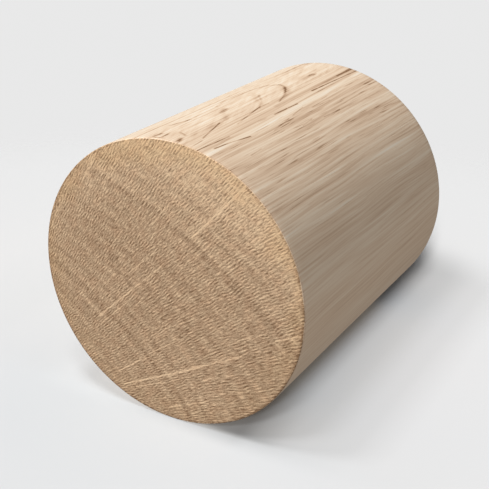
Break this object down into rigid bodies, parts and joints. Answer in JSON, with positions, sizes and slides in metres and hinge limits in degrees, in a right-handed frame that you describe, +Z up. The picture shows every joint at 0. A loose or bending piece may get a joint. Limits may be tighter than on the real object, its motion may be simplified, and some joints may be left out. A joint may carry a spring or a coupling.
{
  "type": "wooden dowel",
  "caption": "Short length of plain round hardwood dowel with square sawn ends and barely eased edges, raw stock for rails, plugs, feet and craft fittings.",
  "frame": {"origin": "the centre of the lower end face, on which the dowel stands at Z = 0", "axes": "+Z up along the dowel's axis; the rod is round, so +X and -Y are only the sides that the right and front views show"},
  "size_m": [0.03, 0.03, 0.0355],
  "materials": {
    "oak": "bare oak, turned and fine sanded round, clean sawn end grain"
  },
  "bodies": {
    "root": {"dowel": "oak"}
  },
  "joints": []
}
